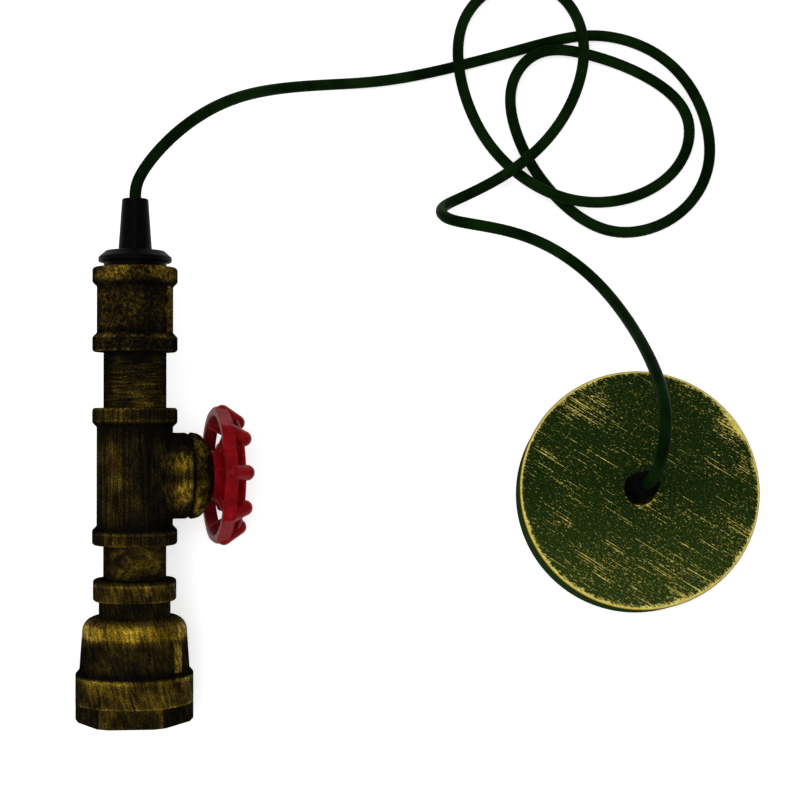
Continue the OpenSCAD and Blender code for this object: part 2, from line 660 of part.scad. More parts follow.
module reducer() color("peru") lamp_lay() difference() {
    union() {
        along_pipe() turned([[0, hex_y, 0], [band_d / 2, hex_y, 0], [band_d / 2, band_y, edge_r],
            [skirt_foot_d / 2, band_y + band_slope, soft_r],
            [skirt_top_d / 2, shoulder_y - shoulder_r, soft_r],
            [skirt_top_d / 2, shoulder_y, shoulder_r - bite],
            [neck_r, shoulder_y, soft_r], [neck_r, neck_y, soft_r], [collar_r - cast_less, neck_y, edge_r],
            [collar_r - cast_less, reducer_y, edge_r], [0, reducer_y, 0]]);
        intersection() {
            along_pipe(mouth_y) rotate([0, 0, hex_turn - pipe_roll])
                cylinder(r = hex_flats / sqrt(3), h = hex_len + bite, $fn = 6);
            along_pipe(mouth_y) turned([[0, 0, 0], [band_d / 2 - hex_chamfer, 0, 0],
                [band_d / 2, hex_chamfer, 0], [band_d / 2, hex_len + 2 * bite, 0],
                [0, hex_len + 2 * bite, 0]]);
        }
        for (turn = [0, 180]) rotate([0, turn - rib_turn, 0])
            rib(band_y - bite, shoulder_y - shoulder_r - band_y + 3 * bite, mouth_d / 2 + bite,
                skirt_foot_d / 2 + rib_rise);
    }
    along_pipe(reducer_y - thread_depth) cylinder(r = socket_r, h = thread_depth + bite);
    along_pipe(plate_seat - bite) cylinder(r = stop_r, h = reducer_y - plate_seat);
    along_pipe(mouth_y - bite) cylinder(r = mouth_d / 2, h = plate_seat - mouth_y + bite);
}

// Lamp: valve
module branch_plug() color("peru") lamp_lay() along_branch() turned([
    [bush_r, plug_inner, 0], [nipple_r, plug_inner, soft_r], [nipple_r, branch_reach, 0],
    [nipple_r + plug_seat, branch_reach, 0], [nipple_r + plug_seat, dome_x, 0], [plug_d / 2, dome_x, soft_r],
    [plug_d / 2 - soft_r, dome_x + plug_len / 2, dome_r], [plug_face_d / 2, plug_face, edge_r],
    [bush_r, plug_face, 0]]);
module spindle() color("gray") lamp_lay() along_branch(spindle_in) turned([
    [0, 0, 0], [spindle_d / 2, 0, soft_r],
    [spindle_d / 2, spindle_out - spindle_in, soft_r], [0, spindle_out - spindle_in, 0]]);

module handwheel() color("firebrick") lamp_lay() difference() {
    union() {
        intersection() {
            along_branch() turned([[wheel_r - rim_wall, rim_x, soft_r], [wheel_r - band_sink, rim_x, edge_r],
                [wheel_r - band_sink - band_taper, rim_x + rim_band, soft_r],
                [wheel_r - rim_wall - band_taper, rim_x + rim_band, soft_r]]);
            rotate([lobe_turn(0), 0, 0]) along_branch(rim_x - bite) rotate([0, 0, 180])
                cylinder(r = wheel_r - band_sink, h = rim_band + 2 * bite, $fn = lobe_count);
        }
        along_branch() turned([[web_in, web_x - web_t, 0], [wheel_r - lip_drop, rim_front - rim_lip, bite],
            [wheel_r - lip_drop, rim_front, bite], [web_in, web_x, 0]]);
        along_branch(hub_x) turned([[0, 0, 0], [hub_d / 2, 0, soft_r], [hub_d / 2, hub_len, edge_r],
            [0, hub_len, 0]]);
        for (i = [0 : lobe_count - 1]) rotate([lobe_turn(i), 0, 0]) lobe();
        for (i = [0 : spoke_count - 1]) rotate([360 * i / spoke_count - wheel_turn, 0, 0]) spoke();
    }
    along_branch(hub_x - bite) cylinder(r = bush_r, h = hub_len + 2 * bite);
}

// A lobe is a round-ended ridge that leans in from the band to its front end
module lobe() translate([lobe_in[0], 0, lobe_in[1]])
    rotate([0, 90 + atan2(lobe_in[1] - lobe_out[1], lobe_out[0] - lobe_in[0]), 0]) {
        cylinder(r = lobe_w / 2, h = norm(lobe_out - lobe_in), $fn = 32);
        for (z = [0, norm(lobe_out - lobe_in)]) translate([0, 0, z]) sphere(r = lobe_w / 2, $fn = 32);
    }

// A spoke runs behind the web from the hub to the lip
module spoke() translate([spoke_in[0], 0, spoke_in[1]])
    rotate([0, atan2(spoke_out[0] - spoke_in[0], spoke_out[1] - spoke_in[1]), 0])
        cylinder(r = spoke_d / 2, h = norm(spoke_out - spoke_in), $fn = 32);

module wheel_washer() color("gray") lamp_lay() along_branch(washer_x)
    pipe(washer_d / 2, spindle_d / 2 + stem_gap, washer_t);
module wheel_nut() color("gray") lamp_lay() along_branch(wheel_nut_x)
    nut(valve_nut_flats, valve_nut_h, spindle_d / 2 + stem_gap);
module spindle_lock_nut() color("gray") lamp_lay() along_branch(lock_nut_x)
    nut(valve_nut_flats, valve_nut_h, spindle_d / 2 + stem_gap);

// Lamp: lampholder
module lampholder_plate() color("silver") lamp_lay() along_pipe(base_y)
    pipe(mouth_d / 2 - plate_gap, stem_d / 2 + stem_gap, plate_t);
module hollow_stud() color("silver") lamp_lay() along_pipe(base_y - stud_depth)
    pipe(stem_d / 2, stem_bore, stud_depth + plate_t + stem_nut_h + stem_past);
module stud_nut() color("silver") lamp_lay() along_pipe(plate_seat)
    nut(stem_nut_flats, stem_nut_h, stem_d / 2 + stem_gap);

// Places of the base's terminal screws, on its lamp side
module base_screws() for (side = [-1, 1])
    translate([side * (shell_d / 2 - base_head_d), holder_y, 0]) children();
module lampholder_base() color("ivory") lamp_lay() difference() {
    along_pipe(holder_y) turned([[0, 0, 0], [holder_d / 2, 0, 0], [holder_d / 2, base_t, soft_r],
        [0, base_t, 0]]);
    along_pipe(base_y - stud_depth) cylinder(r = stem_d / 2 + stem_gap, h = stud_depth + bite);
    along_pipe(holder_y - bite) cylinder(r = contact_d / 2 + contact_play, h = contact_guide + bite);
    base_screws() along_pipe(-bite)
        cylinder(r = base_screw_d / 2 + set_gap, h = base_screw_len + bite + set_gap);
}
module lampholder_sleeve() color("ivory") lamp_lay() along_pipe(holder_end) turned([
    [holder_bore, 0, bite], [holder_d / 2, 0, edge_r], [holder_d / 2, holder_y - holder_end, 0],
    [holder_bore, holder_y - holder_end, 0]]);
module screw_shell() color("goldenrod") lamp_lay() along_pipe(shell_y)
    pipe(shell_d / 2 + shell_t, shell_d / 2, contact_y - face_gap - shell_y);
module centre_contact() color("goldenrod") lamp_lay() along_pipe(contact_y) turned([[0, 0, 0],
    [contact_d / 2, 0, soft_r], [contact_d / 2, contact_len, 0], [0, contact_len, 0]]);
module lamp_terminal_screws() color("goldenrod") lamp_lay() base_screws() along_pipe() {
    cylinder(r = base_screw_d / 2, h = base_screw_len);
    translate([0, 0, -base_head_h]) cylinder(r = base_head_d / 2, h = base_head_h);
}

// A core runs from the flex's tail through the fittings and the hollow stud to the lampholder's base
module core(turn) lamp_lay() rotate([0, turn, 0]) translate([core_spread, 0, 0])
    along_pipe(base_y - stud_depth) cylinder(r = core_d / 2, h = tail_y - base_y + stud_depth);
module live_core() color("sienna") core(0);
module neutral_core() color("steelblue") core(core_turn);
module earth_core() color("yellowgreen") core(2 * core_turn);

rose_cup();
ceiling_bracket();
side_screws();
rose_cord_grip();
rose_grip_nut();
terminal_block();
terminal_inserts();
terminal_screws();
earth_screw();
rose_cord_tail();
rose_live_core();
rose_neutral_core();
rose_earth_core();
cord();
pipe_cord_grip();
pipe_grip_nut();
top_cap();
pipe_cord_tail();
coupling();
upper_nipple();
tee();
lower_nipple();
reducer();
branch_plug();
spindle();
handwheel();
wheel_washer();
wheel_nut();
spindle_lock_nut();
lampholder_plate();
hollow_stud();
stud_nut();
lampholder_base();
lampholder_sleeve();
screw_shell();
centre_contact();
lamp_terminal_screws();
live_core();
neutral_core();
earth_core();
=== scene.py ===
"""Looks of a pendant light made of pipe fittings, laid out beside its ceiling rose on a pale floor."""

import json
import math

import bpy
from mathutils import Matrix, Vector


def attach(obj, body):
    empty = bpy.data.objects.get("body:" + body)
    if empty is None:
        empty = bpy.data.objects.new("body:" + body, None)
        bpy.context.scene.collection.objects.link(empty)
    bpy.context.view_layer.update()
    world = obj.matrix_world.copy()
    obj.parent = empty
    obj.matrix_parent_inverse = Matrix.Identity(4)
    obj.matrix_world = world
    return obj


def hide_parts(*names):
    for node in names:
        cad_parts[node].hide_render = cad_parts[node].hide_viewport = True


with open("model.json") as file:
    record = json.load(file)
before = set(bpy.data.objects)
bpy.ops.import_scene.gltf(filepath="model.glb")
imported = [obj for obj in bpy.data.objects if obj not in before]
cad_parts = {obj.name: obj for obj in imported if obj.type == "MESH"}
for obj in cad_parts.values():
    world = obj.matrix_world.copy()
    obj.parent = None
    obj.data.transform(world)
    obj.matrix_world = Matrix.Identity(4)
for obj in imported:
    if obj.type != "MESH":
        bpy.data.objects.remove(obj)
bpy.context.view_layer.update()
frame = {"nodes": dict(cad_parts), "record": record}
nodes = frame["nodes"]

MILLIMETRE = 0.001
WHITE = (1, 1, 1, 1)

# Lay of the lamp: the tee's middle, the slope of the pipe, the roll of the branch, and how far along the pipe
# the grip ends
TEE = Vector((-0.22, 0.004, 0.0397534))
SLOPE = math.radians(8.83729)
ROLL = math.radians(17)
LAMP_TURN = Matrix.Rotation(SLOPE, 3, "X") @ Matrix.Rotation(ROLL, 3, "Y")
PIPE_WAY = Vector((0, math.cos(SLOPE), math.sin(SLOPE)))
GRIP_TOP = 0.1198

# The flex: its diameter, its straight runs past the two grips, the height where the rose's grip ends and its
# length, in metres. The points that steer it are in millimetres, the first two of them from its start
FLEX_D = 0.0052
LAMP_RUN = 0.009
ROSE_RUN = 0.014
ROSE_GRIP_TOP = 0.0476
FLEX_LEAVES = ((15, 28, 2.5), (34, 46.5, -8.5))
FLEX_POINTS = (
    (-166, 183, 28), (-138, 193, 6), (-105, 195.5, 2.6),
    (-44, 212.5, 2.6), (-14, 221.5, 2.6), (18, 211.5, 2.6), (37, 187, 2.6), (42.5, 154, 2.6), (25, 127, 2.6),
    (-8, 118, 2.6), (-34, 138, 2.6), (-50, 163, 2.6), (-57, 193, 2.6), (-42, 211.5, 8), (-17, 210, 2.6),
    (12, 199, 2.6), (34, 180, 2.6), (27, 151, 2.6), (-1, 135, 2.6), (-37, 134, 13),
    (-69, 165, 2.6), (-82, 206, 12), (-73, 235.5, 4), (-48, 250.5, 2.6), (-24, 237, 4), (-16.5, 207, 12),
    (-27, 175.5, 8), (-50, 148.5, 18), (-76.5, 138, 6), (-88.5, 130.5, 16), (-86, 120, 32), (-68, 116, 38),
    (-42, 115, 20), (-14, 100, 5), (1, 60, 48), (4, 25, 90), (0, 2, 82),
)

# Levels of a noise that are drawn out to run from 0 to 1: the closer they are, the stronger its marks
STRONG_LEVELS = (0.3, 0.7)
SOFT_LEVELS = (0.25, 0.75)
FAINT_LEVELS = (0.2, 0.8)

# Bronze on the fittings: the darker and the lighter of its paint and of its gold, in parts of 255, its least
# and most roughness, and the strength of its bump and the bump's depth in metres
BRONZE_PAINT = ((3, 3, 4), (15, 15, 15))
BRONZE_GOLD = ((172, 136, 34), (226, 186, 58))
BRONZE_ROUGHNESS = (0.4, 0.55)
BRONZE_BUMP = (0.3, 0.0003)

# Dust of gold: the shares of patches, brush marks and an even ground in it, the grain that thins it, how many
# patches and grains come to a millimetre, and how metallic it is
PATCH_SHARE = 0.2
STROKE_SHARE = 0.45
EVEN_SHARE = 0.37
GRAIN_SHARE = 0.9
GRAIN_LEAST = 0.55
PATCH_SCALE = 0.1
GRAIN_SCALE = 2.0
GOLD_METALLIC = 0.7

# Ribs: the gold on their crests, the rise in millimetres over which it comes, and the fade past their ends
RIB_GOLD = 0.7
RIB_RISE = (0.3, 0.8)
RIB_FADE = 0.5

# Half the width, in millimetres, of the change from a round wall to facets
FACET_FADE = 0.2

# Gold on each fitting. run gives the gold along the pipe and across its share from side to side, as
# (place, amount) points in millimetres from the tee's middle; across is painted shade and light, lower
# towards the pipe's flanks and in lighter and darker stripes along it. branch is a pair of such lists for the
# tee's branch, along it and along the pipe; the two peaks of the second, either side of the middle, are
# painted highlights on the branch's upper and lower flanks. ribs are two (place, radius) points of the wall
# that the ribs stand on. facets are the place along the pipe below which it is six-sided, and the share of
# gold from side to side there, lower on the side facets as painted shade, with gold lines on the corners.
# marks are the sizes of the brush marks along the three axes, and slant leans them by degrees. contrast sets
# the dust off from the bare paint.
BRONZES = {
    "coupling": dict(
        run=(
            (53.4, 0.45), (54, 0.7), (54.8, 0.46), (58.8, 0.48), (59.8, 0.76), (62, 0.35),
            (66, 0.55), (78, 0.57), (82, 0.35), (84, 0.6), (85, 0.73), (90, 0.73),
        ),
        across=((-19, 0.7), (-15, 1.0), (-6, 1.0), (2, 0.85), (12, 1.0), (19, 0.7)),
        ribs=((62, 16.3), (81.5, 16.3)),
        marks=(1.6, 1.6, 1.6),
        contrast=4.0,
    ),
    "upper_nipple": dict(
        run=((28, 0.6), (33, 0.6), (42, 0.58), (50, 0.52), (54, 0.35)),
        across=((-13, 0.7), (-10, 1.0), (-3, 0.9), (1, 0.9), (7, 1.1), (13, 0.7)),
        marks=(8.0, 1.0, 8.0),
        contrast=4.0,
    ),
    "tee": dict(
        run=(
            (-30, 0.5), (-29.2, 0.82), (-28.4, 0.58), (-25.2, 0.54), (-24.4, 0.76), (-23, 0.3),
            (-18, 0.4), (-10, 0.54), (10, 0.54), (18, 0.4), (22.5, 0.3), (24, 0.76),
            (24.8, 0.54), (28, 0.58), (29, 0.84), (30, 0.45),
        ),
        across=((-20, 0.6), (-15, 0.95), (-9, 1.2), (-3, 0.85), (4, 0.75), (14, 0.85), (20, 0.6)),
        # The second list's two peaks either side of the middle are painted highlights on the branch's flanks
        branch=(
            ((4, 0.0), (9, 0.5), (14, 0.75), (17, 0.88), (23, 0.88)),
            ((-15, 0.4), (-9, 0.9), (-4, 1.05), (0, 0.65), (4, 1.15), (9, 0.9), (14, 0.35)),
        ),
        marks=(1.1, 24.0, 1.1),
        contrast=3.6,
    ),
    "lower_nipple": dict(
        run=((-44, 0.3), (-41, 0.54), (-31, 0.54)),
        across=((-13, 0.7), (-10, 1.0), (8, 1.0), (13, 0.7)),
        marks=(3.0, 2.0, 3.0),
        contrast=3.0,
    ),
    "reducer": dict(
        run=(
            (-105, 0.5), (-103, 0.48), (-97.4, 0.5), (-96.9, 0.88), (-95.9, 0.6), (-87.4, 0.58),
            (-85.6, 0.84), (-84.3, 0.15), (-80, 0.35), (-72, 0.37), (-69.5, 0.6), (-68, 1.0),
            (-64, 1.04), (-62, 0.6), (-60, 0.3), (-55, 0.3), (-53.8, 0.3), (-53.2, 0.74),
            (-52.4, 0.5), (-47.4, 0.55), (-46.4, 0.76), (-45.4, 0.4), (-44, 0.2),
        ),
        across=((-25, 0.7), (-20, 1.0), (18, 1.0), (25, 0.75)),
        ribs=((-82.4, 23.5), (-66.6, 22.4)),
        # The side facets keep less gold as painted shade; the corners keep gold lines
        facets=(
            -97,
            (
                (-26, 0.85), (-12, 0.62), (-11.2, 1.3), (-10, 1.3), (-9.2, 1.1), (-4, 1.0), (2, 0.75),
                (9, 0.95), (13, 1.05), (13.9, 1.3), (15, 1.3), (15.8, 0.55), (26, 0.65),
            ),
        ),
        marks=(1.1, 7.0, 2.5),
        slant=-14,
        contrast=2.8,
    ),
    "branch_plug": dict(
        # The two peaks either side of the plug's middle are painted highlights on its upper and lower flanks
        run=((-19, 0.5), (-12, 0.96), (-6, 0.84), (0, 0.6), (6, 0.68), (12, 0.92), (19, 0.5)),
        across=((23, 0.8), (25, 1.1), (28, 1.0), (32, 0.6)),
        marks=(2.0, 3.0, 3.0),
        contrast=4.0,
    ),
}

# The rose: its radius and height in millimetres, the way of its scratches, its colours in parts of 255, its
# least and most roughness, and the strength of its bump and the bump's depth in metres. Among the colours,
# the lighter near face and the lighter side are painted light and the browner edge gold is painted shade
ROSE_R = 53
ROSE_H = 25
SCRATCH_TURN = math.radians(-32)
ROSE_FACE = ((13, 30, 8), (38, 56, 20))
# Painted light: the face's paint turns this lighter green towards the near side
ROSE_LIT_NEAR_FACE = (66, 84, 34)
# Painted light: the side is a lighter, lit copy of the face's green
ROSE_LIT_SIDE = ((28, 50, 20), (48, 72, 34))
ROSE_GOLD = ((230, 198, 72), (255, 246, 142))
# Painted shade: a browner gold along the rim's outer edge
ROSE_SHADED_EDGE_GOLD = (160, 112, 40)
ROSE_ROUGHNESS = (0.55, 0.7)
ROSE_BUMP = (0.25, 0.0002)

# Rims of the rose: the spans from its middle, in millimetres, over which the gold ring, the browner
# line of painted shade at its edge and the ragged fringe come in, and the heights over which gold and
# the face's paint do
RING_SPAN = (ROSE_R - 1.3, ROSE_R - 0.9)
EDGE_SHADE_SPAN = (ROSE_R - 0.7, ROSE_R - 0.1)
FRINGE_SPAN = (ROSE_R + 4.8, ROSE_R + 5.8)
GOLD_RISE = (ROSE_H - 2.0, ROSE_H - 0.6)
FACE_RISE = (ROSE_H - 4.0, ROSE_H - 1.5)

# The near side of the rose, where wear comes more often and the face's paint is lighter as painted light:
# the span across the rose over which it fades out, and the most it counts
NEAR_SPAN = (1 - ROSE_R, 10)
NEAR_MOST = 0.35

# Marks on the rose: how many to a millimetre along the scratches, across them and in depth. The rags are as
# many every way
FLECKS = (0.42, 2.6, 1.0)
SPECKS = (0.8, 2.2, 1.0)
LINES = (0.04, 2.6, 0.3)
PATCHES = (0.05, 0.09, 0.1)
RAG_SCALE = 0.7

# The levels of each kind of mark between which it turns from paint to gold, and the most gold of a speck
FLECK_LEVELS = (0.68, 0.74)
SPECK_LEVELS = (0.63, 0.72)
LINE_LEVELS = (0.72, 0.77)
SPECK_GOLD = 0.6

# Wear of the rose: how much patches and the near side add to it, how much of it the specks take and how much
# they break up the lines, and how far wear, flecks and grain draw the rim's fringe inwards, in millimetres
PATCH_WEAR = 0.16
NEAR_WEAR = 0.15
SPECK_WEAR = 0.5
LINE_BREAKS = 0.4
FRINGE_WEAR = 18.0
FRINGE_FLECKS = 8.0
FRINGE_RAGS = 4.0

# Spots where the rose is worn more: their places and sizes in millimetres, and how much more. The last is at
# the foot of the grip
WORN_SPOTS = (
    (-19, 40, 11, 0.08), (-30, 33, 9, 0.05), (41, 27, 13, 0.12), (47, 10, 9, 0.1), (21, 45, 8, 0.05),
    (1.0, -1.2, 10, 0.4),
)

# Plain finishes: the two colours that they are mottled in, in parts of 255, the mottle's size in millimetres,
# their roughness and whatever else sets them apart
PLAIN = {
    "black_plastic": dict(dark=(1, 1, 1), light=(5, 5, 5), size=3.0, rough=0.45, gloss=0.03),
    # The flex's long lighter and darker stretches are partly random tone and partly painted light and shade
    "flex_pvc": dict(
        dark=(6, 20, 4), light=(18, 40, 11), size=20.0, rough=0.4, gloss=0.008, tint=(0.3, 0.9, 0.2, 1),
    ),
    "red_paint": dict(dark=(112, 2, 9), light=(152, 8, 20), size=6.0, rough=0.4, depth=0.0003, gloss=0.07),
    "steel": dict(dark=(120, 118, 112), light=(168, 166, 160), size=2.0, rough=0.38, metallic=1.0),
    "dark_screw": dict(dark=(20, 22, 16), light=(38, 40, 28), size=2.0, rough=0.5, metallic=0.3),
    "zinc_steel": dict(dark=(150, 152, 155), light=(190, 192, 195), size=5.0, rough=0.4, metallic=1.0),
    "brass": dict(dark=(176, 136, 60), light=(212, 176, 96), size=3.0, rough=0.3, metallic=1.0),
    "white_nylon": dict(dark=(222, 221, 214), light=(236, 235, 230), size=4.0, rough=0.5),
    "porcelain": dict(dark=(222, 218, 206), light=(236, 233, 224), size=8.0, rough=0.2, coat=0.5),
    "live_pvc": dict(dark=(96, 52, 26), light=(116, 66, 36), size=3.0, rough=0.4),
    "neutral_pvc": dict(dark=(34, 84, 150), light=(48, 102, 170), size=3.0, rough=0.4),
    "earth_pvc": dict(dark=(96, 140, 30), light=(150, 170, 40), size=3.0, rough=0.4, stretch=(1, 1, 0.2)),
}

# What the plain finishes share: how many grains come to a mottle, the strength of their bump, how far their
# roughness changes either way, and the roughness of a coat
PLAIN_GRAINS = 6.0
PLAIN_BUMP = 0.3
ROUGHNESS_CHANGE = 0.06
COAT_ROUGHNESS = 0.12

# The camera looks down, a little from the lamp's mouth end
CAMERA_TILT = math.radians(9.3)
CAMERA_AT = Vector((-0.1056, 0.0438, 0))
CAMERA_AWAY = 0.775
CAMERA_LENS = 76.05
CAMERA_SENSOR = 36

# Soft lamps: four stand round the object, about fifty degrees off the upright, and one hangs overhead. Each
# has its place from the point that all aim at, its size and its power
LAMP_AIM = Vector((-0.11, 0.05, 0))
LAMPS = {
    "left_light": ((-1.0, 0, 0.8), 0.8, 2.6),
    "right_light": ((1.0, 0, 0.8), 0.8, 2.0),
    "top_light": ((0, 1.0, 0.8), 0.8, 2.8),
    "near_light": ((0, -1.0, 0.8), 0.8, 2.2),
    "overhead_light": ((-0.15, -0.15, 1.2), 0.7, 4.6),
}
WORLD_LIGHT = 0.12

# The floor: its middle, size and two whites, how many patches of them come to a millimetre, its roughness,
# and the glow that only the camera and reflections see
FLOOR_AT = (-0.1, 0.05, 0)
FLOOR_SIZE = 12
FLOOR_WHITES = ((0.92, 0.92, 0.92, 1), (0.95, 0.95, 0.95, 1))
FLOOR_PATCHES = 0.004
FLOOR_ROUGHNESS = 0.9
FLOOR_GLOW = 0.6


def linear(part):
    """The light of a part of a colour, both from 0 to 1."""
    return part / 12.92 if part <= 0.04045 else ((part + 0.055) / 1.055) ** 2.4


def rgb(colour):
    """A colour as it shows, in parts of 255, as the light it gives."""
    return (*[linear(part / 255) for part in colour], 1)


class Nodes:
    """A tree of shader nodes, with short ways to add the nodes it needs."""

    def __init__(self, tree):
        self.tree = tree

    def put(self, socket, value):
        """Link a socket, or set a plain value."""
        if isinstance(value, bpy.types.NodeSocket):
            self.tree.links.new(value, socket)
        else:
            socket.default_value = value

    def node(self, kind, inputs, **settings):
        """Add a node; inputs are by name or number."""
        made = self.tree.nodes.new("ShaderNode" + kind)
        for key, value in settings.items():
            setattr(made, key, value)
        for key, value in inputs.items():
            self.put(made.inputs[key], value)
        return made

    def calc(self, operation, first, second=0.0, third=0.0):
        return self.node("Math", {0: first, 1: second, 2: third}, operation=operation).outputs[0]

    def scaled(self, value, low, high, first=0.0, last=1.0, **settings):
        """Value from low to high becomes first to last."""
        inputs = {"Value": value, "From Min": low, "From Max": high, "To Min": first, "To Max": last}
        return self.node("MapRange", inputs, **settings).outputs[0]

    def spread(self, value, low, high, first=0.0, last=1.0):
        """Value from low to high becomes first to last, with soft ends."""
        return self.scaled(value, low, high, first, last, interpolation_type="SMOOTHSTEP")

    def curve(self, value, points):
        """A curve through (place, amount) points; it stays level past its ends."""
        low, high = points[0][0], points[-1][0]
        made = self.node("ValToRGB", {"Fac": self.scaled(value, low, high)})
        stops = made.color_ramp.elements
        while len(stops) < len(points):
            stops.new(0.5)
        for stop, (at, amount) in zip(stops, points):
            stop.position = (at - low) / (high - low)
            stop.color = (amount, amount, amount, 1)
        return made.outputs[0]

    def mix(self, part, first, second):
        return self.node("Mix", {0: part, 6: first, 7: second}, data_type="RGBA").outputs[2]

    def blend(self, part, colours):
        """From the first of two colours to the second, both in parts of 255."""
        return self.mix(part, *[rgb(colour) for colour in colours])

    def place(self, middle=(0, 0, 0), turn=(0, 0, 0)):
        """Coordinates in millimetres about a middle, turned with the piece."""
        where = self.node("TexCoord", {}).outputs["Object"]
        inputs = {"Vector": where, "Location": middle, "Rotation": turn, "Scale": (MILLIMETRE,) * 3}
        return self.node("Mapping", inputs, vector_type="TEXTURE").outputs[0]

    def turned(self, where, turn):
        return self.node("Mapping", {"Vector": where, "Rotation": turn}).outputs[0]

    def stretch(self, where, scale):
        return self.node("Mapping", {"Vector": where, "Scale": scale}).outputs[0]

    def axes(self, where):
        return self.node("SeparateXYZ", {0: where}).outputs

    def reach(self, first, second):
        """Distance from the middle, over two axes."""
        flat = self.node("CombineXYZ", {0: first, 1: second}).outputs[0]
        return self.node("VectorMath", {0: flat}, operation="LENGTH").outputs["Value"]

    def noise(self, where, scale=1.0, detail=2.0, rough=0.5):
        inputs = {"Vector": where, "Scale": scale, "Detail": detail, "Roughness": rough}
        return self.node("TexNoise", inputs).outputs[0]


class Finish(Nodes):
    """A material made of nodes."""

    def __init__(self, name):
        self.material = bpy.data.materials.new(name)
        self.material.use_nodes = True
        super().__init__(self.material.node_tree)
        self.shader = self.tree.nodes["Principled BSDF"]

    def bump(self, height, strength, depth):
        inputs = {"Height": height, "Strength": strength, "Distance": depth}
        self.put(self.shader.inputs["Normal"], self.node("Bump", inputs).outputs[0])

    def set(self, **values):
        """Set the shader's inputs, named in lower case with underscores."""
        sockets = {socket.name.lower().replace(" ", "_"): socket for socket in self.shader.inputs}
        for key, value in values.items():
            self.put(sockets[key], value)
        return self.material


def gold_amount(look, local, run, across, branch=None, ribs=None, facets=None):
    """How much gold a fitting keeps at each place, before the brush marks thin it out. The share from side to
    side, the branch's two peaks and the facets' share also hold painted shade and painted highlights.
    """
    x, y, z = look.axes(local)
    # The share from side to side is painted shade and light: less gold towards the flanks, stripes along the
    # pipe
    amount = look.calc("MULTIPLY", look.curve(y, run), look.curve(x, across))
    if branch:
        # The branch's gold peaks either side of its middle as painted highlights on its upper and lower
        # flanks
        out, side = branch
        branch_gold = look.calc("MULTIPLY", look.curve(x, out), look.curve(y, side))
        amount = look.calc("MAXIMUM", amount, branch_gold)
    if ribs:
        (low, low_r), (high, high_r) = ribs
        proud = look.calc("SUBTRACT", look.reach(x, z), look.scaled(y, low, high, low_r, high_r))
        crest = look.spread(proud, *RIB_RISE, 0.0, RIB_GOLD)
        along = look.curve(y, ((low - RIB_FADE, 0.0), (low, 1.0), (high, 1.0), (high + RIB_FADE, 0.0)))
        amount = look.calc("MAXIMUM", amount, look.calc("MULTIPLY", crest, along))
    if facets:
        # The side facets keep less gold as painted shade; the corners keep gold lines
        below, share = facets
        level = look.axes(look.place(TEE))[0]
        faced = look.spread(y, below - FACET_FADE, below + FACET_FADE, 1.0, 0.0)
        change = look.calc("SUBTRACT", look.curve(level, share), 1.0)
        amount = look.calc("MULTIPLY", amount, look.calc("MULTIPLY_ADD", faced, change, 1.0))
    return amount


def antique_bronze(name, marks, contrast, slant=0.0, **gold_lists):
    """Black paint over iron, dusted with gold that stays on the raised parts, with painted shade and painted
    highlights in where the gold shows.
    """
    look = Finish(name)
    local = look.place(TEE, LAMP_TURN.to_euler())
    leaning = look.turned(local, (0, 0, math.radians(slant)))
    patch = look.spread(look.noise(local, scale=PATCH_SCALE), *STRONG_LEVELS)
    stroke = look.spread(look.noise(look.stretch(leaning, [1 / mark for mark in marks])), *SOFT_LEVELS)
    grain = look.spread(look.noise(local, scale=GRAIN_SCALE, detail=3.0, rough=0.65), *SOFT_LEVELS)

    stroked = look.calc("MULTIPLY_ADD", stroke, STROKE_SHARE, EVEN_SHARE)
    brushed = look.calc("MULTIPLY_ADD", patch, PATCH_SHARE, stroked)
    dusted = look.calc("MULTIPLY", brushed, look.calc("MULTIPLY_ADD", grain, GRAIN_SHARE, GRAIN_LEAST))
    amount = look.calc("MULTIPLY", gold_amount(look, local, **gold_lists), dusted)
    gold = look.calc("MINIMUM", look.calc("POWER", amount, contrast), 1.0)

    paint = look.blend(grain, BRONZE_PAINT)
    metal = look.blend(patch, BRONZE_GOLD)
    look.bump(look.calc("MULTIPLY_ADD", stroke, 0.5, grain), *BRONZE_BUMP)
    return look.set(
        base_color=look.mix(gold, paint, metal),
        metallic=look.calc("MULTIPLY", gold, GOLD_METALLIC),
        roughness=look.spread(grain, 0.0, 1.0, *BRONZE_ROUGHNESS),
        specular_ior_level=0.0,
    )


